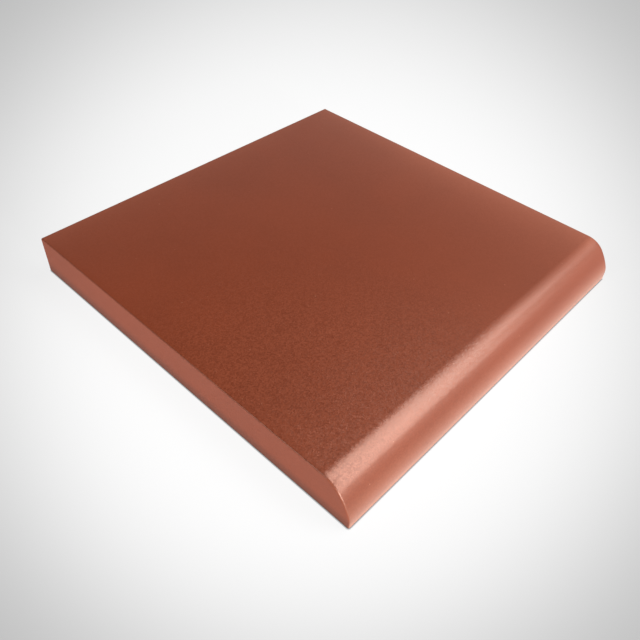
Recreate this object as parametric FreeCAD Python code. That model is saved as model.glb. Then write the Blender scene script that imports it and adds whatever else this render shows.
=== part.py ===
import FreeCAD, Part
import math
import os

# A square bullnose tile of fired clay, lying on its back on a level floor.
# It was pressed and fired as one piece, so it is one solid: a flat plate with three square edges,
# a rounded nose along its front edge, and a back pressed into shallow squares that key into mortar.
# The origin is the centre of the underside. +X runs along the nose, the nose faces -Y, +Z is up.
# Sizes are in millimetres and angles in degrees.

# Plate
nose_length = 150.0
depth = 150.0               # from the front of the nose to the square back edge
thickness = 15.0

# Nose, from the flat top down to the foot: a tight crown, a flatter flank, a foot that turns upright,
# and a short upright land that stands on the bed
crown_radius = 9.0
crown_turn = 50.0           # how far the crown turns away from the flat top
foot_radius = 8.0
foot_turn = 25.0            # how far the foot turns before it is upright
land_height = 2.9

# Arrises
face_arris_radius = 0.5     # round the top, down both ends of the nose and up the corners
bed_arris_radius = 0.5      # round the underside

# Keyed back
key_count = 6               # squares along each way
key_rim = 9.0               # flat rim between the squares and the tile's edges
key_rib = 3.0               # flat rib between two squares
key_depth = 1.0
key_draft = 20.0            # lean of the squares' walls, so that the die lifts out
key_corner_radius = 2.5     # at the mouth of a square

NEAR = 1e-4                 # how close an edge's end must be to a plane to count as lying in it


def vector(y, z):
    """A point of the tile's cross-section, which lies in the plane through its left end."""
    return FreeCAD.Vector(-nose_length / 2, y, z)


def flank_radius_for(height):
    """Radius of the flank, so that crown, flank and foot together come down by the height given.

    An arc of radius R that turns from angle a to angle b, counted from the flat top, comes down by
    R * (cos a - cos b). What the crown and the foot leave of the height is the flank's.
    """
    crown_end = math.radians(crown_turn)
    foot_start = math.radians(90.0 - foot_turn)
    left_over = height - crown_radius * (1 - math.cos(crown_end)) - foot_radius * math.cos(foot_start)
    return left_over / (math.cos(crown_end) - math.cos(foot_start))


def nose_arcs():
    """The nose as (radius, start angle, end angle), from the flat top to the land."""
    flank_radius = flank_radius_for(thickness - land_height)
    return [
        (crown_radius, 0.0, crown_turn),
        (flank_radius, crown_turn, 90.0 - foot_turn),
        (foot_radius, 90.0 - foot_turn, 90.0),
    ]


def nose_reach():
    """How far the nose runs forward from where the flat top ends."""
    return sum(
        radius * (math.sin(math.radians(end)) - math.sin(math.radians(start)))
        for radius, start, end in nose_arcs()
    )


def on_arc(centre_y, centre_z, radius, angle):
    """The point of an arc where the surface has turned by the angle given from the flat top."""
    turn = math.radians(angle)
    return vector(centre_y - radius * math.sin(turn), centre_z + radius * math.cos(turn))


def section_wire():
    """The tile's outline seen from its left end, anticlockwise from the back of the flat top."""
    top_back = vector(depth / 2, thickness)
    point = vector(nose_reach() - depth / 2, thickness)
    edges = [Part.LineSegment(top_back, point).toShape()]
    for radius, start, end in nose_arcs():
        turn = math.radians(start)
        centre_y = point.y + radius * math.sin(turn)
        centre_z = point.z - radius * math.cos(turn)
        middle = on_arc(centre_y, centre_z, radius, (start + end) / 2)
        last = on_arc(centre_y, centre_z, radius, end)
        edges.append(Part.Arc(point, middle, last).toShape())
        point = last
    corners = [point, vector(-depth / 2, 0), vector(depth / 2, 0), top_back]
    for near, far in zip(corners, corners[1:]):
        edges.append(Part.LineSegment(near, far).toShape())
    return Part.Wire(edges)


def lies_in(edge, axis, value):
    """True when the whole edge lies in the plane where one coordinate has the value given."""
    low = getattr(edge.BoundBox, axis + "Min")
    high = getattr(edge.BoundBox, axis + "Max")
    return abs(low - value) < NEAR and abs(high - value) < NEAR


def is_bed_edge(edge):
    return lies_in(edge, "Z", 0.0)


def is_face_arris(edge):
    """Both end outlines above the bed, and the back edge of the flat top."""
    at_an_end = lies_in(edge, "X", -nose_length / 2) or lies_in(edge, "X", nose_length / 2)
    at_the_back = lies_in(edge, "Y", depth / 2) and lies_in(edge, "Z", thickness)
    return (at_an_end or at_the_back) and not is_bed_edge(edge)


def pressed_plate():
    """The plate with its nose, its arrises taken off as the die leaves them."""
    plate = Part.Face(section_wire()).extrude(FreeCAD.Vector(nose_length, 0, 0))
    plate = plate.makeFillet(face_arris_radius, [edge for edge in plate.Edges if is_face_arris(edge)])
    return plate.makeFillet(bed_arris_radius, [edge for edge in plate.Edges if is_bed_edge(edge)])


def rounded_square(centre_x, centre_y, z, width_x, width_y, radius):
    """A rectangle with rounded corners in a level plane, as a closed wire."""
    reach_x = width_x / 2
    reach_y = width_y / 2
    slant = radius * (1 - math.sqrt(0.5))
    edges = []
    corners = [(1, 1), (-1, 1), (-1, -1), (1, -1)]
    spots = []
    for sign_x, sign_y in corners:
        beside = (sign_x * reach_x, sign_y * (reach_y - radius))
        above = (sign_x * (reach_x - radius), sign_y * reach_y)
        middle = (sign_x * (reach_x - slant), sign_y * (reach_y - slant))
        first, last = (beside, above) if sign_x * sign_y > 0 else (above, beside)
        spots.append([FreeCAD.Vector(centre_x + x, centre_y + y, z) for x, y in (first, middle, last)])
    for here, following in zip(spots, spots[1:] + spots[:1]):
        edges.append(Part.Arc(*here).toShape())
        edges.append(Part.LineSegment(here[2], following[0]).toShape())
    return Part.Wire(edges)


def key_square(centre_x, centre_y, width_x, width_y):
    """The raised square of the die that presses one recess: wider at the mouth than at its floor.

    It starts one depth below the underside, on the same lean, so that it cuts the underside cleanly.
    """
    lean = key_depth * math.tan(math.radians(key_draft))
    wires = []
    for height, wider in ((-key_depth, lean), (key_depth, -lean)):
        across_x = width_x + 2 * wider
        across_y = width_y + 2 * wider
        corner = key_corner_radius + wider
        wires.append(rounded_square(centre_x, centre_y, height, across_x, across_y, corner))
    return Part.makeLoft(wires, True, True)


def key_squares():
    """The die's whole pattern, spread evenly inside the rim."""
    width_x = (nose_length - 2 * key_rim - (key_count - 1) * key_rib) / key_count
    width_y = (depth - 2 * key_rim - (key_count - 1) * key_rib) / key_count
    squares = []
    for column in range(key_count):
        for row in range(key_count):
            step_x = column - (key_count - 1) / 2
            step_y = row - (key_count - 1) / 2
            centre_x = step_x * (width_x + key_rib)
            centre_y = step_y * (width_y + key_rib)
            squares.append(key_square(centre_x, centre_y, width_x, width_y))
    return squares


def bullnose_tile():
    return pressed_plate().cut(Part.makeCompound(key_squares()))


os.makedirs("parts", exist_ok=True)
tile = bullnose_tile()
tile.exportStep("parts/bullnose_tile.step")
box = tile.optimalBoundingBox(True, False)
flank_radius = flank_radius_for(thickness - land_height)
print(f"bullnose_tile: {len(tile.Solids)} solid, {len(tile.Faces)} faces, {tile.Volume / 1000:.1f} cm3")
print(f"box: {box.XLength:.3f} x {box.YLength:.3f} x {box.ZLength:.3f}")
print(f"nose: reach {nose_reach():.2f}, flank radius {flank_radius:.2f}")
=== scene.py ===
# %% [markdown]
# # A bullnose tile of fired clay
#
# The tile finishes the edge of a step or a sill: a flat square plate with one edge rounded over.
# The CAD model fixes its size and its place. This notebook adds what the CAD model leaves out:
# a smooth skin with the faint unevenness of pressed clay, the clay's colour and grain, and a
# small studio to look at it in.

# %% Load the fixed frame
import math

import bpy
import bmesh
import numpy as np
from mathutils import Matrix, Vector


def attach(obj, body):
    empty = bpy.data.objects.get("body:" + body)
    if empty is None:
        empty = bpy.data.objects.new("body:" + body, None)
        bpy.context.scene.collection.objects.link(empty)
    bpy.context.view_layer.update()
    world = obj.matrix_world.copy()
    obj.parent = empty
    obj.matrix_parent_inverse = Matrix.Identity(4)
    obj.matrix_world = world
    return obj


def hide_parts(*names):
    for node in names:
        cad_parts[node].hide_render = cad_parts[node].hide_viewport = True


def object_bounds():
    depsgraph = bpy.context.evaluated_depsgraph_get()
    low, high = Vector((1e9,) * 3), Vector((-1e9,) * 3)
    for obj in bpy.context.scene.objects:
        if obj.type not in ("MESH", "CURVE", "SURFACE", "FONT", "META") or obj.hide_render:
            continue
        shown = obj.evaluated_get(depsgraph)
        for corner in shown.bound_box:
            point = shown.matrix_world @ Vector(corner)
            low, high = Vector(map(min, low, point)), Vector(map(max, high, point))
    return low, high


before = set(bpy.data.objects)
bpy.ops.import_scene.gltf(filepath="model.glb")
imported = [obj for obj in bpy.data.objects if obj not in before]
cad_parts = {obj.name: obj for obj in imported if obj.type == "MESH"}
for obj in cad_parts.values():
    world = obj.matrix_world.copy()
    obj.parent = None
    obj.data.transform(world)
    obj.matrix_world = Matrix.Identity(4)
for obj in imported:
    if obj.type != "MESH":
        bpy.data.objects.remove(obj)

cad_low, cad_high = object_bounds()
MM = 0.001               # every size below is in metres, so a size in millimetres is written 8 * MM
print("CAD box, mm:", [round(v / MM, 3) for v in (*cad_low, *cad_high)])

# %% [markdown]
# ## The camera
#
# The photograph looks down on the front left corner of the tile from close by, a little rolled.
# A camera could be turned by angles until it looks right, but here its three directions are
# worked out from where it stands around the tile, and the camera is given them as a matrix. That
# way each number has a meaning: how far round, how high, how far away and how much rolled.

# %% Place the camera
VIEW_AZIMUTH = math.radians(-49.05)      # 0 stands before the nose, negative is to the tile's left
VIEW_ELEVATION = math.radians(44.07)
VIEW_ROLL = math.radians(3.49)
VIEW_DISTANCE = 214.8 * MM               # from the lens to the point it looks at
VIEW_TARGET = Vector((-33.3 * MM, -24.1 * MM, cad_high.z))
VIEW_LENS, SENSOR_WIDTH = 37.34, 36.0    # both as camera makers give them, in mm
VIEW_NEAR, VIEW_FAR = 0.01, 50.0         # m, the distances between which things are drawn


def towards(azimuth, elevation):
    """Unit vector from the tile to a stand round it: (sin a * cos e, -cos a * cos e, sin e)."""
    level = math.cos(elevation)
    return Vector((math.sin(azimuth) * level, -math.cos(azimuth) * level, math.sin(elevation)))


def camera_directions(azimuth, elevation, roll):
    """Right, up and backward of a camera.

    Backward points from the target to the camera. Right is level until the roll turns right and up
    together about the line of sight.
    """
    back = towards(azimuth, elevation)
    level = Vector((0, 0, 1)).cross(back).normalized()
    upright = back.cross(level)
    right = level * math.cos(roll) + upright * math.sin(roll)
    up = upright * math.cos(roll) - level * math.sin(roll)
    return right, up, back


view_right, view_up, view_back = camera_directions(VIEW_AZIMUTH, VIEW_ELEVATION, VIEW_ROLL)
view_place = VIEW_TARGET + view_back * VIEW_DISTANCE
view_turn = Matrix((view_right, view_up, view_back)).transposed().to_4x4()
camera = bpy.data.objects.new("camera", bpy.data.cameras.new("camera"))
camera.data.lens = VIEW_LENS
camera.data.sensor_width = SENSOR_WIDTH
camera.data.clip_start = VIEW_NEAR
camera.data.clip_end = VIEW_FAR
camera.matrix_world = Matrix.Translation(view_place) @ view_turn
bpy.context.scene.collection.objects.link(camera)
bpy.context.scene.camera = camera
print("camera at, mm:", [round(v / MM, 1) for v in view_place])

# %% [markdown]
# ## The tile's cross-section
#
# On the real tile a die gives every tile the same outline: an upright land at the foot of the
# nose, a foot, a flatter flank and a tight crown that runs out into the flat top. Such an outline
# is best drawn as a pen would draw it. The pen moves on, turning as it goes: a straight run keeps
# its heading, an arc turns it evenly. Each sample keeps its outward direction as well, because the
# arrises are made by moving the outline inwards along it.
#
# The flank's radius isn't chosen: it follows from the height that the crown and the foot leave.

# %% Sizes of the section
CROWN_RADIUS = 9.0 * MM
CROWN_TURN = 50.0                        # degrees, as are all turns and tilts of the section
FOOT_RADIUS = 8.0 * MM
FOOT_TURN = 25.0
LAND_HEIGHT = 2.9 * MM
ARRIS_RADIUS = 0.5 * MM
LENGTH, DEPTH, THICKNESS = cad_high - cad_low


def drop(radius, start, end):
    """How far an arc comes down between two tilts: radius times the fall of the cosine."""
    return radius * (math.cos(math.radians(start)) - math.cos(math.radians(end)))


def advance(radius, start, end):
    """How far an arc runs forward between two tilts: radius times the rise of the sine."""
    return radius * (math.sin(math.radians(end)) - math.sin(math.radians(start)))


FLANK_START, FLANK_END = CROWN_TURN, 90.0 - FOOT_TURN
crown = (CROWN_RADIUS, 0.0, FLANK_START)
foot = (FOOT_RADIUS, FLANK_END, 90.0)
left_over = THICKNESS - LAND_HEIGHT - drop(*crown) - drop(*foot)
FLANK_RADIUS = left_over / drop(1.0, FLANK_START, FLANK_END)
flank = (FLANK_RADIUS, FLANK_START, FLANK_END)
NOSE_REACH = advance(*crown) + advance(*flank) + advance(*foot)
print(f"flank radius {FLANK_RADIUS / MM:.2f} mm, the nose reaches {NOSE_REACH / MM:.2f} mm")

# %% [markdown]
# The top needs closer samples than its flatness asks for, because the skin's unevenness is laid on
# it later. The underside is sampled where the pressed squares of the back begin and end, so that
# both surfaces meet point to point.

# %% Sample the section
KEY_COUNT = 6
KEY_RIM = 9.0 * MM
KEY_RIB = 3.0 * MM
STEPS_PER_SQUARE = 16
RIM_STEPS = 3
ARRIS_STEPS, FOOT_STEPS, FLANK_STEPS, CROWN_STEPS = 6, 14, 20, 40
LAND_STEP, LAND_END_STEP = 0.6 * MM, 0.1 * MM
FLAT_STEP, FLAT_END_STEP = 1.5 * MM, 0.15 * MM


def bed_samples(size):
    """Sample places across the bed, from one arris to the other.

    Inside each square's cell they follow a sine, so that they crowd towards the cell's edges, where
    the square's corners are round. The rims outside the cells are divided evenly.
    """
    pitch = (size - 2 * KEY_RIM + KEY_RIB) / KEY_COUNT
    centres = (np.arange(KEY_COUNT) - (KEY_COUNT - 1) / 2) * pitch
    within = np.sin(np.linspace(-np.pi / 2, np.pi / 2, STEPS_PER_SQUARE + 1)) * pitch / 2
    cells = (centres[:, None] + within[None, :-1]).ravel()
    block = pitch * KEY_COUNT / 2
    flat = size / 2 - ARRIS_RADIUS
    rim = np.linspace(block, flat, RIM_STEPS + 1)
    return np.concatenate([-rim[:0:-1], cells, rim])


def spread(length, step, end_step):
    """Distances along a straight run: even steps, with one more sample close to each end."""
    inner = np.linspace(end_step, length - end_step, max(2, int(round(length / step))))
    return np.concatenate([inner, [length]])


def outward_of(tilts):
    """The outward directions (-sin tilt, cos tilt)."""
    angles = np.radians(tilts)
    return np.stack([-np.sin(angles), np.cos(angles)], axis=1)


def section():
    """The closed outline as (y, z) samples and their tilts, from the bed up the nose and round.

    An arc runs from its centre at one radius along the outward direction while the tilt falls.
    A straight run moves along (cos tilt, sin tilt).
    """
    runs = [
        ("arc", ARRIS_RADIUS, 180.0, 90.0, ARRIS_STEPS),
        ("line", spread(LAND_HEIGHT - ARRIS_RADIUS, LAND_STEP, LAND_END_STEP), 90.0),
        ("arc", FOOT_RADIUS, 90.0, FLANK_END, FOOT_STEPS),
        ("arc", FLANK_RADIUS, FLANK_END, FLANK_START, FLANK_STEPS),
        ("arc", CROWN_RADIUS, FLANK_START, 0.0, CROWN_STEPS),
        ("line", spread(DEPTH - NOSE_REACH - ARRIS_RADIUS, FLAT_STEP, FLAT_END_STEP), 0.0),
        ("arc", ARRIS_RADIUS, 0.0, -90.0, ARRIS_STEPS),
        ("line", spread(THICKNESS - 2 * ARRIS_RADIUS, FLAT_STEP, FLAT_END_STEP), -90.0),
        ("arc", ARRIS_RADIUS, -90.0, -180.0, ARRIS_STEPS),
    ]
    point = np.array([-DEPTH / 2 + ARRIS_RADIUS, 0.0])
    points = [point[None]]
    tilts = [np.array([180.0])]
    for kind, *values in runs:
        if kind == "arc":
            radius, first, last, steps = values
            run_tilts = np.linspace(first, last, steps + 1)
            outward = outward_of(run_tilts)
            samples = (point + radius * (outward - outward[0]))[1:]
            run_tilts = run_tilts[1:]
        else:
            distances, heading = values
            direction = [math.cos(math.radians(heading)), math.sin(math.radians(heading))]
            samples = point + distances[:, None] * np.array(direction)
            run_tilts = np.full(len(distances), heading)
        points.append(samples)
        tilts.append(run_tilts)
        point = samples[-1]
    bed_y = bed_samples(DEPTH)[::-1][1:-1]
    points.append(np.stack([bed_y, np.zeros_like(bed_y)], axis=1))
    tilts.append(np.full(len(bed_y), -180.0))
    return np.concatenate(points), np.concatenate(tilts)


outline, outline_tilts = section()
outline_outward = outward_of(outline_tilts)
BED_SAMPLES = len(bed_samples(DEPTH))
print(f"section: {len(outline)} samples, of which {BED_SAMPLES} lie on the bed")

# %% [markdown]
# ## The skin
#
# The skin is one surface of two parameters: along the section and along the nose. Over the
# tile's length the section stays as it is. Over the last half millimetre at each end it shrinks
# along its outward directions while it closes in on the end plane, which leaves the same round
# arris all the way round, and then it shrinks to a point in the middle of the flat end. The rings
# on the flat end start close to the arris, so that no long thin faces cross it.

# %% Carry the section along the nose
FLAT_END_SHARES = (0.01, 0.04, 0.1, 0.18, 0.28, 0.4, 0.55, 0.75)   # of the way to the middle


def end_rings():
    """Rings of one end, from the full section inwards, as (x short of the end, inset, share).

    On the arris a ring stops r * (1 - sin a) short of the end and its inset is r * (1 - cos a).
    On the flat end the share says how far it has shrunk to the middle.
    """
    angle = np.linspace(0, np.pi / 2, ARRIS_STEPS + 1)
    short = ARRIS_RADIUS * (1 - np.sin(angle))
    inset = ARRIS_RADIUS * (1 - np.cos(angle))
    arris = np.stack([short, inset, np.zeros_like(angle)], axis=1)
    flat = np.array([[0.0, ARRIS_RADIUS, share] for share in FLAT_END_SHARES])
    return np.concatenate([arris, flat])


def skin_grid():
    """All rings from the left end to the right, as an array (rings, samples, 3)."""
    ends = end_rings()
    along = bed_samples(LENGTH)
    x = np.concatenate([-LENGTH / 2 + ends[:0:-1, 0], along, LENGTH / 2 - ends[1:, 0]])
    full = np.zeros((len(along), 2))
    inset, share = np.concatenate([ends[:0:-1, 1:], full, ends[1:, 1:]]).T
    ring = outline[None] - inset[:, None, None] * outline_outward[None]
    pole = np.array([0.0, THICKNESS / 2])
    ring = ring + share[:, None, None] * (pole - ring)
    grid = np.empty((len(x), len(outline), 3))
    grid[..., 0] = x[:, None]
    grid[..., 1:] = ring
    return grid


skin = skin_grid()
print("skin grid:", skin.shape)

# %% [markdown]
# A pressed tile is never quite flat: the clay springs back a few hundredths of a millimetre when
# the die lifts, and moves again in the kiln. A few long sine waves in random directions give such a
# surface. They only take away, so the tile stays inside its size. They fade out above the bed, so
# that it still lies flat, and round the ends' arrises, so that the ends stay flat too.

# %% Lay the unevenness on the skin
UNEVEN_SEED = 41
UNEVEN_DEPTH = 0.03 * MM
UNEVEN_WAVES = 18
UNEVEN_SHORTEST, UNEVEN_LONGEST = 11 * MM, 48 * MM
BED_FADE = 3 * MM


def smooth_step(value, low, high):
    """3t^2 - 2t^3, where t runs from 0 at low to 1 at high."""
    t = np.clip((value - low) / (high - low), 0, 1)
    return t * t * (3 - 2 * t)


def unevenness(points):
    """Depth below the die's surface at each point: a sum of sines of wave vector . point + phase.

    The sum is moved and scaled to lie between nothing and the full depth, then multiplied by a
    smooth step of the height, which is nothing on the bed, and by a straight fade across each
    end's arris.
    """
    rng = np.random.default_rng(UNEVEN_SEED)
    direction = rng.normal(size=(UNEVEN_WAVES, 3))
    direction /= np.linalg.norm(direction, axis=1, keepdims=True)
    shortest, longest = np.log(UNEVEN_SHORTEST), np.log(UNEVEN_LONGEST)
    wavelength = np.exp(rng.uniform(shortest, longest, UNEVEN_WAVES))
    phase = rng.uniform(0, 2 * np.pi, UNEVEN_WAVES)
    weight = wavelength / wavelength.sum()
    waves = np.sin(points @ (direction * (2 * np.pi / wavelength)[:, None]).T + phase) @ weight
    short_of_end = np.clip((LENGTH / 2 - np.abs(points[..., 0])) / ARRIS_RADIUS, 0, 1)
    fade = smooth_step(points[..., 2], 0.0, BED_FADE) * short_of_end
    return UNEVEN_DEPTH * (0.5 + 0.5 * waves) * fade


depth_below = unevenness(skin)
skin[..., 1:] -= depth_below[..., None] * outline_outward
print(f"unevenness: {depth_below.min() / MM:.4f} to {depth_below.max() / MM:.4f} mm deep")

# %% [markdown]
# ## The keyed back
#
# The underside is pressed into shallow squares, so that the mortar grips it. Each square sits in a
# cell of its own, and the cell is again a surface of two parameters: one goes round the square, the
# other goes inwards from the cell's edge, over the rounded lip, down the leaning wall, round the
# floor's edge and across the floor. The strips of rim round the block of cells are plain grids.

# %% Shape one cell of the back
KEY_DEPTH = 1.0 * MM
KEY_DRAFT = math.radians(20.0)
KEY_CORNER = 2.5 * MM
KEY_LIP, LIP_STEPS = 0.2 * MM, 4
FLOOR_SHARES = (0.9, 0.45, 0.0)          # rings on the floor, as shares of its width
PITCH_X = (LENGTH - 2 * KEY_RIM + KEY_RIB) / KEY_COUNT
PITCH_Y = (DEPTH - 2 * KEY_RIM + KEY_RIB) / KEY_COUNT


def key_wall():
    """Steps inwards over a square's edge as (distance inside the mouth, height above the bed).

    Lip and floor edge are arcs of one radius that turn from level to the wall's lean, which is
    90 degrees less the draft. The arcs touch the bed, the wall and the floor, and the wall passes
    through the mouth.
    """
    turn = np.pi / 2 - KEY_DRAFT
    angle = np.linspace(0, turn, LIP_STEPS + 1)
    tangent = KEY_LIP * math.tan(turn / 2)
    lean = KEY_DEPTH * math.tan(KEY_DRAFT)
    forward, rise = KEY_LIP * np.sin(angle), KEY_LIP * (1 - np.cos(angle))
    lip = np.stack([-tangent + forward, rise], axis=1)
    floor = np.stack([lean + tangent - forward, KEY_DEPTH - rise], axis=1)
    return np.concatenate([lip, floor[::-1]])


def square_ring(half_x, half_y, corner, side_x, side_y):
    """Points of a rounded rectangle, one for each point (side_x, side_y) of the unit square's edge.

    A point of the plain rectangle that lies in a corner's zone is pulled to the corner's arc,
    straight towards the arc's centre. With no corner radius it stays where it is.
    """
    x, y = side_x * half_x, side_y * half_y
    centre_x = np.sign(side_x) * (half_x - corner)
    centre_y = np.sign(side_y) * (half_y - corner)
    off_x, off_y = x - centre_x, y - centre_y
    in_zone = (np.abs(x) > half_x - corner) & (np.abs(y) > half_y - corner) & (corner > 0)
    distance = np.where(in_zone, np.hypot(off_x, off_y), 1.0)
    x = np.where(in_zone, centre_x + off_x * corner / distance, x)
    y = np.where(in_zone, centre_y + off_y * corner / distance, y)
    return x, y


def unit_square():
    """Once round the unit square's edge, with each side's points crowding towards its corners."""
    side = np.sin(np.linspace(-np.pi / 2, np.pi / 2, STEPS_PER_SQUARE + 1))[:-1]
    one = np.ones_like(side)
    return np.concatenate([side, one, -side, -one]), np.concatenate([-one, side, one, -side])


def cell_grid():
    """Rings of one cell round its own centre, as an array (rings, points, 3).

    The first is the cell's edge and the last is the middle of the floor.
    """
    side_x, side_y = unit_square()
    mouth_x, mouth_y = (PITCH_X - KEY_RIB) / 2, (PITCH_Y - KEY_RIB) / 2
    rings = [(*square_ring(PITCH_X / 2, PITCH_Y / 2, 0.0, side_x, side_y), 0.0)]
    for inside, height in key_wall():
        ring = square_ring(mouth_x - inside, mouth_y - inside, KEY_CORNER - inside, side_x, side_y)
        rings.append((*ring, height))
    last_x, last_y, height = rings[-1]
    for share in FLOOR_SHARES:
        rings.append((last_x * share, last_y * share, height))
    return np.stack([np.stack([x, y, np.full_like(x, z)], axis=1) for x, y, z in rings])


cell = cell_grid()
print(f"cell: {cell.shape[0]} rings of {cell.shape[1]} points, {PITCH_X / MM:.2f} mm pitch")

# %% [markdown]
# ## One closed mesh
#
# The pieces of surface are turned into vertices and faces with whole arrays: on a grid each face
# takes its four neighbours, and the numbering is arithmetic. The pieces share their border points,
# so merging what coincides closes the mesh. Counting the edges that don't have two faces proves it,
# and the enclosed volume shows that the faces point outwards.

# %% Number the faces
MERGE_DISTANCE = 0.002 * MM


def grid_faces(rows, columns, closed, flip=False):
    """Four-cornered faces of a grid numbered row by row.

    A closed grid joins its last column to its first.
    """
    last = columns if closed else columns - 1
    row, column = np.meshgrid(np.arange(rows - 1), np.arange(last), indexing="ij")
    here, beyond = row * columns, (row + 1) * columns
    following = (column + 1) % columns
    corners = [here + column, beyond + column, beyond + following, here + following]
    faces = np.stack(corners, axis=-1)
    return faces[..., ::-1] if flip else faces


def skin_pieces():
    """Points and faces of the skin and both end poles, without the bed, which the back fills."""
    rings, samples = skin.shape[:2]
    faces = grid_faces(rings, samples, closed=True)
    first_full = len(end_rings()) - 1
    keep = np.ones(faces.shape[:2], bool)
    keep[first_full:rings - 1 - first_full, samples - BED_SAMPLES + 1:] = False
    poles = np.array([[-LENGTH / 2, 0.0, THICKNESS / 2], [LENGTH / 2, 0.0, THICKNESS / 2]])
    points = np.concatenate([skin.reshape(-1, 3), poles])
    here = np.arange(samples)
    following = (here + 1) % samples
    left_pole = np.full(samples, rings * samples)
    last_ring = (rings - 1) * samples
    left = np.stack([left_pole, here, following], axis=1)
    right = np.stack([left_pole + 1, last_ring + following, last_ring + here], axis=1)
    return points, faces[keep].tolist() + left.tolist() + right.tolist()


def back_pieces():
    """Points and faces of every cell and of the rim strips, all facing down."""
    rings, points_round = cell.shape[:2]
    steps = np.arange(KEY_COUNT) - (KEY_COUNT - 1) / 2
    shift_x, shift_y = np.meshgrid(steps * PITCH_X, steps * PITCH_Y, indexing="ij")
    shift = np.stack([shift_x.ravel(), shift_y.ravel(), np.zeros(KEY_COUNT ** 2)], axis=1)
    cells = cell[None] + shift[:, None, None, :]
    offset = np.arange(KEY_COUNT ** 2)[:, None, None, None] * rings * points_round
    points = [cells.reshape(-1, 3)]
    faces = [(grid_faces(rings, points_round, closed=True)[None] + offset).reshape(-1, 4)]
    along_x, along_y = bed_samples(LENGTH), bed_samples(DEPTH)
    first, last = RIM_STEPS, -RIM_STEPS - 1
    strips = [
        (along_x, along_y[:first + 1]),
        (along_x, along_y[last:]),
        (along_x[:first + 1], along_y[first:last + 1]),
        (along_x[last:], along_y[first:last + 1]),
    ]
    count = len(points[0])
    for strip_x, strip_y in strips:
        x, y = np.meshgrid(strip_x, strip_y, indexing="ij")
        points.append(np.stack([x, y, np.zeros_like(x)], axis=-1).reshape(-1, 3))
        faces.append(grid_faces(*x.shape, closed=False, flip=True).reshape(-1, 4) + count)
        count += x.size
    return np.concatenate(points), np.concatenate(faces).tolist()


def mesh_from(name, parts):
    """One mesh from several (points, faces), coinciding points merged, every face outwards."""
    mesh = bpy.data.meshes.new(name)
    points, faces = [], []
    for part_points, part_faces in parts:
        count = sum(len(p) for p in points)
        faces += [[index + count for index in face] for face in part_faces]
        points.append(part_points)
    mesh.from_pydata(np.concatenate(points), [], faces)
    work = bmesh.new()
    work.from_mesh(mesh)
    bmesh.ops.remove_doubles(work, verts=work.verts, dist=MERGE_DISTANCE)
    bmesh.ops.recalc_face_normals(work, faces=work.faces)
    loose = sum(1 for edge in work.edges if len(edge.link_faces) != 2)
    volume = work.calc_volume(signed=True) / MM ** 3 / 1000
    print(f"{name}: {len(work.faces)} faces, {loose} edges without two faces, {volume:.2f} cm3")
    work.to_mesh(mesh)
    work.free()
    mesh.shade_smooth()
    return mesh


tile = bpy.data.objects.new("tile_skin", mesh_from("tile_skin", [skin_pieces(), back_pieces()]))
bpy.context.scene.collection.objects.link(tile)
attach(tile, "root")
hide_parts("bullnose_tile")

# %% [markdown]
# ## The clay
#
# One clay has three skins on such a tile. The face and the nose were pressed smooth and have a
# satin shine. The ends and the back side only touched the die's walls: they stay matt and paler.
# The underside, which stood on sand in the kiln, is the roughest. On top of that comes painted light
# and shade. The face is painted paler towards its right end and its back edge, most where it faces
# up: painted light. The foot of the nose is painted pale, a painted reflection of the white ground,
# and the arrises at its ends carry a painted highlight. The sides are painted darker towards the
# bed, and the square arrises of the top a shade darker: painted shade. The grain stands out most at
# the front left corner.
#
# A material for each group of faces would make them meet in hard lines. Here each point gets five
# numbers instead, worked out from its place and its normal, and one material blends by them.
# Nearly every one is a product of smooth steps: of a height or a distance, and of how far the
# unit normal leans in some direction.

# %% Mark the skins on the mesh
SIDE_MATT = 0.6                          # between 0, the face, and 1, the underside
# Painted light: the face is painted paler towards its right end and its back edge
RIGHT_LIGHT_REACH, RIGHT_LIGHT_SHARE = 12.5 * MM, 0.56   # a third of the share is left one reach away
RIGHT_LIGHT_BACK = 0.6                       # part of it at the back corner
BACK_REACH, BACK_SHARE = 5.0 * MM, 0.2
NOSE_SHARE = 0.1                         # how much of both the steep part of the nose keeps
# Painted reflection on the foot of the nose, painted highlight on the arris at each end of the nose
FOOT_LOW, FOOT_HIGH, FOOT_SHARE = 2 * MM, 10 * MM, 0.52
LAND_LOW, LAND_HIGH, LAND_SHARE = 0.8 * MM, 3.2 * MM, 0.48
ARRIS_HIGHLIGHT_SHARE = 0.38                      # of the arris between the nose and an end
# Painted shade: the sides darker towards the bed, the top's square arrises a shade darker
SHADE_LOW, SHADE_HIGH = 0.5 * MM, 5.5 * MM
SHADE_ARRIS = 0.7                         # of the top's square arrises
GRAINY_NEAR, GRAINY_FAR = 55 * MM, 105 * MM
GRAINY_REST = 0.27                       # strength of the grain far from the front left corner
GRAINY_STEEP = 0.45                      # and on the steep faces, which slid along the die

# How far a normal leans where a smooth step starts and where it is full
SIDE_LEAN = (0.5, 0.95)                  # towards an end or the back: a side
BED_LEAN = (0.3, 0.8)                    # down: the underside
LEVEL_LEAN = (0.86, 0.98)                # up: the face without the nose
GENTLE_LEAN = (0.6, 0.85)                # up: all that isn't steep
FRONT_LEAN = (0.2, 0.5)                  # forward: the nose below its crown
PAST_TOP_LEAN = (0.05, 0.2)              # forward: the nose from its first curve on
NOSE_ARRIS_LEAN = (0.15, 0.5)            # towards an end: the arris of the nose begins
NOSE_END_LEAN = (0.8, 0.98)              # towards an end: the arris of the nose is over
TOP_ARRIS_LEAN = (0.1, 0.4)              # towards a side: the arris of the top begins
UP_LEAN = (0.15, 0.5)                    # up: an arris of the top and not of a corner


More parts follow.
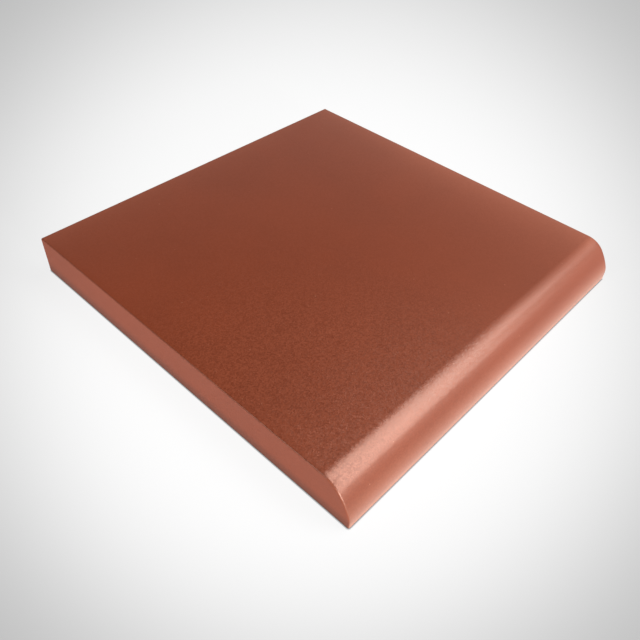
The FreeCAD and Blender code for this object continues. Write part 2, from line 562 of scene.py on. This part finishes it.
def matt_of(normals):
    """0 on the face and the nose, SIDE_MATT on the ends and the back side, 1 on the underside."""
    to_end, to_back = np.abs(normals[:, 0]), normals[:, 1]
    side = np.maximum(smooth_step(to_end, *SIDE_LEAN), smooth_step(to_back, *SIDE_LEAN))
    return np.maximum(SIDE_MATT * side, smooth_step(-normals[:, 2], *BED_LEAN))


# Painted light on the faces that look up, near the right end and the back edge
def painted_light_of(points, normals):
    """The larger of two share * exp(-distance / reach), from the right end and the back edge.

    Both are scaled down where the normal leans away from upright, and the first towards the back.
    """
    towards_back = 1 - (1 - RIGHT_LIGHT_BACK) * smooth_step(points[:, 1], 0.0, DEPTH / 2)
    from_end = np.exp((points[:, 0] - LENGTH / 2) / RIGHT_LIGHT_REACH)
    from_back = np.exp((points[:, 1] - DEPTH / 2) / BACK_REACH)
    level = NOSE_SHARE + (1 - NOSE_SHARE) * smooth_step(normals[:, 2], *LEVEL_LEAN)
    return np.maximum(RIGHT_LIGHT_SHARE * towards_back * from_end, BACK_SHARE * from_back) * level


# A painted reflection on the foot and a painted highlight on the nose's end arrises
def painted_highlight_of(points, normals):
    """The larger of two on what looks to the front: the foot and the arris at each end of the nose.

    The foot fades upwards by two smooth steps of the height, a long one and a short one for the
    land. The arris is where a normal looks sideways as well.
    """
    foot = FOOT_SHARE * (1 - smooth_step(points[:, 2], FOOT_LOW, FOOT_HIGH))
    land = LAND_SHARE * (1 - smooth_step(points[:, 2], LAND_LOW, LAND_HIGH))
    to_end = np.abs(normals[:, 0])
    arris = smooth_step(to_end, *NOSE_ARRIS_LEAN) * (1 - smooth_step(to_end, *NOSE_END_LEAN))
    front = smooth_step(-normals[:, 1], *FRONT_LEAN)
    return np.maximum(foot + land, ARRIS_HIGHLIGHT_SHARE * arris) * front


# Painted shade low on the sides and on the top's square arrises
def painted_shade_of(points, normals):
    """The larger of two: the lower part of the sides and the top's square arrises.

    The sides fade upwards by a smooth step of the height.
    """
    sideways = np.maximum(np.abs(normals[:, 0]), normals[:, 1])
    low = smooth_step(sideways, *SIDE_LEAN) * (1 - smooth_step(points[:, 2], SHADE_LOW, SHADE_HIGH))
    arris = smooth_step(sideways, *TOP_ARRIS_LEAN) * smooth_step(normals[:, 2], *UP_LEAN)
    not_nose = 1 - smooth_step(-normals[:, 1], *PAST_TOP_LEAN)
    return np.maximum(low, SHADE_ARRIS * arris * not_nose)


def grainy_of(points, normals):
    """1 near the front left corner, falling by a smooth step of the distance to GRAINY_REST.

    Steep faces have a share of that only.
    """
    distance = np.hypot(points[:, 0] + LENGTH / 2, points[:, 1] + DEPTH / 2)
    near = 1 - (1 - GRAINY_REST) * smooth_step(distance, GRAINY_NEAR, GRAINY_FAR)
    gentle = smooth_step(normals[:, 2], *GENTLE_LEAN)
    return near * (GRAINY_STEEP + (1 - GRAINY_STEEP) * gentle)


def mark(name, values):
    """Keep one number for each vertex under a name that the material can read."""
    attribute = tile.data.attributes.new(name, "FLOAT", "POINT")
    attribute.data.foreach_set("value", values.astype(np.float32))
    print(f"{name}: {values.min():.2f} to {values.max():.2f}, mean {values.mean():.2f}")


vertex_count = len(tile.data.vertices)
places = np.empty((vertex_count, 3), np.float32)
normals = np.empty((vertex_count, 3), np.float32)
tile.data.vertices.foreach_get("co", places.ravel())
tile.data.vertices.foreach_get("normal", normals.ravel())
mark("matt", matt_of(normals))
# painted light
mark("pale", painted_light_of(places, normals))
# painted reflection and highlight
mark("rubbed", painted_highlight_of(places, normals))
# painted shade
mark("soot", painted_shade_of(places, normals))
mark("grainy", grainy_of(places, normals))

# %% [markdown]
# Fired red clay is one colour only from far off. Close up it is iron-red with soft clouds where the
# body dried unevenly, a fine grain of clay and sand about half a millimetre across, pale points of
# grog, fine ones everywhere and a few larger ones, and now and then a dark pit.
#
# A noise texture makes the clouds. The grain could be a bump from noise as well, but that looks like
# leather: its hollows run together. Grains are separate things, so they are the cells of a Voronoi
# texture. Each cell has a random colour: one part of it makes the grain a shade darker or
# paler, and all three parts together lean its facet a little to one side. Points and pits are
# scattered by cells too: each cell has one spot, and its random number decides whether the spot is
# kept and how large it is. All of them work in the tile's own coordinates, so nothing slides when
# the tile moves.

# %% Helpers for the nodes
SPOT_EDGE = 0.25                         # width of a spot's soft edge, as a part of its radius


def node_maker(material):
    """A short way to add nodes: make(kind, settings, inputs) returns the node.

    A socket given as an input is linked, and anything else is set. An input named _2 is the third.
    """
    nodes, links = material.node_tree.nodes, material.node_tree.links

    def make(kind, settings=None, **inputs):
        node = nodes.new("ShaderNode" + kind)
        for name, value in (settings or {}).items():
            setattr(node, name, value)
        for name, value in inputs.items():
            key = int(name[1:]) if name[0] == "_" else name.replace("_", " ")
            if isinstance(value, bpy.types.NodeSocket):
                links.new(value, node.inputs[key])
            else:
                node.inputs[key].default_value = value
        return node

    return make


def ramp(make, value, low, high, start, end):
    """start where value is at most low, end where it is at least high, and straight between."""
    limits = {"From_Min": low, "From_Max": high, "To_Min": start, "To_Max": end}
    return make("MapRange", Value=value, **limits).outputs["Result"]


def math_of(make, operation, first, second):
    return make("Math", {"operation": operation}, _0=first, _1=second).outputs[0]


def product(make, first, second):
    return math_of(make, "MULTIPLY", first, second)


def vector_of(make, operation, **inputs):
    return make("VectorMath", {"operation": operation}, **inputs).outputs[0]


def blend(make, share, first, second):
    """first * (1 - share) + second * share, for colours."""
    return make("Mix", {"data_type": "RGBA"}, _0=share, _6=first, _7=second).outputs[2]


def spots(make, own, spacing, share, radius):
    """1 inside scattered round spots, 0 outside, and straight between them across a soft edge.

    The share of the cells is kept whose random number is highest, and their spots grow with it.
    """
    cells = make("TexVoronoi", Vector=own, Scale=1 / spacing, Randomness=1.0)
    number = make("SeparateColor", Color=cells.outputs["Color"]).outputs["Red"]
    size = ramp(make, number, 1 - share, 1.0, 0.0, radius / spacing)
    inside = math_of(make, "SUBTRACT", size, cells.outputs["Distance"])
    return ramp(make, inside, 0.0, radius / spacing * SPOT_EDGE, 0.0, 1.0)


# %% Mix the clay
CLAY_COLOUR = (0.185, 0.031, 0.0085)
# Painted light
PAINTED_LIGHT_COLOUR = (0.39, 0.118, 0.066)
# Painted reflection and highlight
HIGHLIGHT_COLOUR = (0.45, 0.19, 0.12)
SIDE_COLOUR = (0.35, 0.060, 0.018)
# Painted shade
SHADE_COLOUR, SHADE_SHARE = (0.12, 0.022, 0.008), 0.72
CLOUD_SIZE, CLOUD_GAIN = 22 * MM, 0.04
CLOUD_DETAIL, CLOUD_ROUGHNESS = 3.0, 0.5
CLOUD_LOW, CLOUD_HIGH = 0.3, 0.7         # of the noise, which seldom goes beyond
GRAIN_SIZE = 0.42 * MM
GRAIN_COLOUR = (0.40, 0.12, 0.06)
GRAIN_DARKEST = 0.2                      # how much of its colour the darkest grain loses
GRAIN_PALEST = 0.135                     # share of GRAIN_COLOUR in the palest
GRAIN_LEAN = 0.09                        # slope of a grain's facet from one side to the other
GROG_COLOUR = (0.42, 0.17, 0.10)
FINE_GROG, FINE_GROG_SHARE = (1.1 * MM, 0.3, 0.22 * MM), 0.35    # spacing, share kept, radius
LARGE_GROG, LARGE_GROG_SHARE = (2.6 * MM, 0.15, 0.3 * MM), 0.5
PIT_COLOUR = (0.06, 0.012, 0.005)
PITS, PIT_SHARE = (4.5 * MM, 0.2, 0.2 * MM), 0.6
PIT_DEPTH = 0.1 * MM
FACE_ROUGHNESS, UNDERSIDE_ROUGHNESS = 0.36, 0.9
CLAY_IOR = 1.6
SHINE_LEVEL, SHINE_TINT = 0.95, (1.0, 0.68, 0.56)
MARKS = ("matt", "pale", "rubbed", "soot", "grainy")


def clay_colour(make, own, grain, pits, marks):
    """The clay's colours laid over each other, each by its share, then the grains, points and pits."""
    matt, pale, rubbed, soot, grainy = marks
    fineness = {"Scale": 1 / CLOUD_SIZE, "Detail": CLOUD_DETAIL, "Roughness": CLOUD_ROUGHNESS}
    cloud = make("TexNoise", Vector=own, **fineness)
    tone = make("SeparateColor", Color=grain).outputs["Red"]
    grain_part = product(make, ramp(make, tone, 0.0, 1.0, -GRAIN_DARKEST, 0.0), grainy)
    cloud_part = ramp(
        make, cloud.outputs["Fac"], CLOUD_LOW, CLOUD_HIGH, 1 - CLOUD_GAIN, 1 + CLOUD_GAIN)
    gain = math_of(make, "ADD", grain_part, cloud_part)

    side = ramp(make, matt, 0.0, SIDE_MATT, 0.0, 1.0)
    # Painted light towards the right end and the back edge
    body = blend(make, pale, (*CLAY_COLOUR, 1.0), (*PAINTED_LIGHT_COLOUR, 1.0))
    # Painted reflection on the foot and painted highlight on the nose's end arrises
    body = blend(make, rubbed, body, (*HIGHLIGHT_COLOUR, 1.0))
    body = blend(make, side, body, (*SIDE_COLOUR, 1.0))
    # Painted shade low on the sides and on the top's square arrises
    body = blend(make, product(make, soot, SHADE_SHARE), body, (*SHADE_COLOUR, 1.0))
    body = vector_of(make, "SCALE", _0=body, Scale=gain)

    pale_grain = product(make, ramp(make, tone, 0.0, 1.0, 0.0, GRAIN_PALEST), grainy)
    fine_share = product(make, grainy, FINE_GROG_SHARE)
    fine_grog = product(make, spots(make, own, *FINE_GROG), fine_share)
    large_grog = product(make, spots(make, own, *LARGE_GROG), LARGE_GROG_SHARE)
    body = blend(make, pale_grain, body, (*GRAIN_COLOUR, 1.0))
    body = blend(make, fine_grog, body, (*GROG_COLOUR, 1.0))
    body = blend(make, large_grog, body, (*GROG_COLOUR, 1.0))
    return blend(make, product(make, pits, PIT_SHARE), body, (*PIT_COLOUR, 1.0))


def clay_normal(make, grain, pits, grainy):
    """normalize(normal + slope * (grain colour - 1/2)), dented where the pits are."""
    lean = vector_of(make, "SUBTRACT", _0=grain, _1=(0.5, 0.5, 0.5))
    lean = vector_of(make, "SCALE", _0=lean, Scale=product(make, grainy, GRAIN_LEAN))
    facet = vector_of(make, "ADD", _0=make("NewGeometry").outputs["Normal"], _1=lean)
    facet = vector_of(make, "NORMALIZE", _0=facet)
    dent = make("Bump", {"invert": True}, Height=pits, Strength=1.0, Distance=PIT_DEPTH, Normal=facet)
    return dent.outputs["Normal"]


def fired_clay():
    """Iron-red clay, satin on the face and rough below, with its grain, points and pits."""
    material = bpy.data.materials.new("fired_clay")
    material.use_nodes = True
    shader = material.node_tree.nodes["Principled BSDF"]
    links = material.node_tree.links
    make = node_maker(material)
    own = make("TexCoord").outputs["Object"]
    marks = [make("Attribute", {"attribute_name": name}).outputs["Fac"] for name in MARKS]
    matt, grainy = marks[0], marks[-1]
    grain = make("TexVoronoi", Vector=own, Scale=1 / GRAIN_SIZE, Randomness=1.0).outputs["Color"]
    pits = spots(make, own, *PITS)
    roughness = ramp(make, matt, 0.0, 1.0, FACE_ROUGHNESS, UNDERSIDE_ROUGHNESS)
    links.new(clay_colour(make, own, grain, pits, marks), shader.inputs["Base Color"])
    links.new(clay_normal(make, grain, pits, grainy), shader.inputs["Normal"])
    links.new(roughness, shader.inputs["Roughness"])
    shader.inputs["IOR"].default_value = CLAY_IOR
    shader.inputs["Specular IOR Level"].default_value = SHINE_LEVEL
    shader.inputs["Specular Tint"].default_value = (*SHINE_TINT, 1.0)
    print(f"{material.name}: {len(material.node_tree.nodes)} nodes")
    return material


tile.data.materials.append(fired_clay())

# %% [markdown]
# ## The studio
# The pool is painted light: it scales the paper's colour and glow, and no lamp throws it.
#
# The photograph shows a white ground that greys softly towards the picture's corners, evenly all
# round. A pool of light does this, as a lamp beside the camera would throw it. It is fixed on the
# ground and stays there in every view: each point of the ground is seen from the lamp's place, its
# direction is compared with the lamp's axis, and a smooth step of that cosine gives the pool.
#
# The ground itself is a sheet of paper that rises into a low wall all round, so that it also
# stands behind the tile when it is seen from low down. It is one profile turned round the upright
# axis: flat, a quarter circle, and the wall.
#
# Paper lit brightly enough to look white would take the tile's shadow away with it, and would need
# far more light than the tile does. So the paper glows a little for whoever looks at it, straight or
# in a reflection, and only the rest of its look comes from the lamps and keeps the shadow. Right
# beside the tile the glow fades too: a painted contact shadow, as under anything that stands on a
# table.

# %% Turn the paper sweep
SWEEP_RADII = (0.0, 0.15, 0.4, 0.8, 1.2)   # m, on the flat ground from the middle to the bend
SWEEP_BEND, BEND_STEPS = 0.5, 16
SWEEP_WALL = 0.6
SWEEP_TURNS = 96
# The painted pool of light
POOL_EDGE_COSINE, POOL_FULL_COSINE = 0.806, 0.972
POOL_EDGE_VALUE = 0.527
PAPER_COLOUR = 0.85                      # what the tile receives back from the ground
PAPER_SEEN_COLOUR = 0.08                 # the part of the ground's look that shadows can darken
PAPER_GLOW = 0.899
PAPER_ROUGHNESS = 0.9
CONTACT_REACH = 0.55 * MM                # the glow fades this close to whatever stands on the paper
CONTACT_DARK = 0.3                       # and is gone where this much of the surroundings is open
CONTACT_SAMPLES = 8


def sweep_profile():
    """Radius and height from the middle outwards: level ground, a quarter circle, a wall."""
    flat = np.array(SWEEP_RADII)
    bend = np.linspace(0, np.pi / 2, BEND_STEPS + 1)[1:]
    wall = flat[-1] + SWEEP_BEND
    radius = np.concatenate([flat, flat[-1] + SWEEP_BEND * np.sin(bend), [wall]])
    rise = SWEEP_BEND * (1 - np.cos(bend))
    height = np.concatenate([np.zeros_like(flat), rise, [SWEEP_BEND + SWEEP_WALL]])
    return radius, height


def turned(name, radius, height, turns):
    """The surface (r cos u, r sin u, h) of a profile (r, h), facing up and inwards.

    The profile starts on the axis, so its first point is the middle and each other one a ring.
    """
    angle = np.arange(turns) * 2 * np.pi / turns
    x = radius[1:, None] * np.cos(angle)
    y = radius[1:, None] * np.sin(angle)
    z = np.broadcast_to(height[1:, None], x.shape)
    points = np.concatenate([np.stack([x, y, z], axis=-1).reshape(-1, 3), [[0, 0, height[0]]]])
    here = np.arange(turns)
    middle = np.full(turns, x.size)
    fan = np.stack([middle, here, (here + 1) % turns], axis=1)
    faces = grid_faces(*x.shape, closed=True).reshape(-1, 4)
    mesh = bpy.data.meshes.new(name)
    mesh.from_pydata(points, [], fan.tolist() + faces.tolist())
    mesh.shade_smooth()
    print(f"{name}: {len(mesh.polygons)} faces, {2 * radius.max():.1f} m across")
    return mesh


def paper(lamp_place, lamp_axis):
    """White paper: pool * (colour * light + glow * openness), where only what is looked at glows."""
    material = bpy.data.materials.new("studio_paper")
    material.use_nodes = True
    shader = material.node_tree.nodes["Principled BSDF"]
    links = material.node_tree.links
    make = node_maker(material)

    own = make("TexCoord").outputs["Object"]
    from_lamp = vector_of(make, "SUBTRACT", _0=own, _1=lamp_place)
    direction = vector_of(make, "NORMALIZE", _0=from_lamp)
    cosine = make("VectorMath", {"operation": "DOT_PRODUCT"}, _0=direction, _1=lamp_axis)
    # painted pool of light
    pool = ramp(
        make, cosine.outputs["Value"], POOL_EDGE_COSINE, POOL_FULL_COSINE, POOL_EDGE_VALUE, 1.0)
    pool.node.interpolation_type = "SMOOTHSTEP"

    path = make("LightPath")
    seen = path.outputs["Is Camera Ray"]
    for name in ("Is Glossy Ray", "Is Transmission Ray"):
        seen = math_of(make, "MAXIMUM", seen, path.outputs[name])
    colour = ramp(make, seen, 0.0, 1.0, PAPER_COLOUR, PAPER_SEEN_COLOUR)

    # painted contact shadow: the glow fades where little of the surroundings is open
    around = make("AmbientOcclusion", {"samples": CONTACT_SAMPLES}, Distance=CONTACT_REACH)
    open_glow = ramp(make, around.outputs["AO"], CONTACT_DARK, 1.0, 0.0, PAPER_GLOW)
    glow = product(make, seen, open_glow)

    links.new(product(make, colour, pool), shader.inputs["Base Color"])
    links.new(product(make, glow, pool), shader.inputs["Emission Strength"])
    shader.inputs["Emission Color"].default_value = (1, 1, 1, 1)
    shader.inputs["Roughness"].default_value = PAPER_ROUGHNESS
    shader.inputs["Specular IOR Level"].default_value = 0.0
    return material


sweep = bpy.data.objects.new("sweep", turned("sweep", *sweep_profile(), SWEEP_TURNS))
sweep.data.materials.append(paper(view_place, -view_back))
bpy.context.scene.collection.objects.link(sweep)

# %% [markdown]
# ## The lamps
#
# A highlight tells where a lamp stood. The bright band along the crown runs the whole length of the
# nose and is brightest near the left end, so the main lamp is a large soft one, high up to the
# tile's right and a little in front. The flank below the band is lit evenly, from a second soft
# lamp lower down in front. A weak one on the left fills the end that the others leave dark, and a
# small one low in front lifts the foot. A sun or a bare point would give one hard shadow and a thin
# hard highlight, and a picture of a room as the world would light everything alike.
#
# The four together light the top at a plain level, at which its colour renders about as it is
# written.

# %% World and lamps
WORLD_STRENGTH = 0.03
world = bpy.data.worlds.new("studio")
bpy.context.scene.world = world
world.use_nodes = True
background = world.node_tree.nodes["Background"]
background.inputs["Color"].default_value = (1, 1, 1, 1)
background.inputs["Strength"].default_value = WORLD_STRENGTH


def softbox(name, azimuth, elevation, distance, width, height, roll, power):
    """A rectangular soft lamp that looks at the tile's middle, in degrees, metres and watts.

    Azimuth 0 stands before the nose, 90 to its right.
    """
    direction = towards(math.radians(azimuth), math.radians(elevation))
    facing = direction.to_track_quat("Z", "Y").to_matrix().to_4x4()
    middle = Vector((0, 0, THICKNESS / 2))
    place = Matrix.Translation(middle + direction * distance)
    lamp = bpy.data.lights.new(name, "AREA")
    lamp.shape = "RECTANGLE"
    lamp.size = width
    lamp.size_y = height
    lamp.energy = power
    stand = bpy.data.objects.new(name, lamp)
    stand.matrix_world = place @ facing @ Matrix.Rotation(math.radians(roll), 4, "Z")
    bpy.context.scene.collection.objects.link(stand)
    print(f"{name}: {width} x {height} m, {power} W")


softbox("key_softbox", 56.0, 57.0, 1.2, 0.62, 0.97, -25.5, 12.0)
softbox("front_softbox", 25.0, 28.5, 0.72, 0.41, 0.38, 0.0, 2.7)
softbox("left_softbox", 264.0, 35.0, 0.9, 0.3, 0.25, 0.0, 2.85)
softbox("foot_softbox", -12.5, 14.5, 0.8, 0.11, 0.08, 0.0, 4.3)

bpy.context.scene.view_settings.view_transform = "Standard"
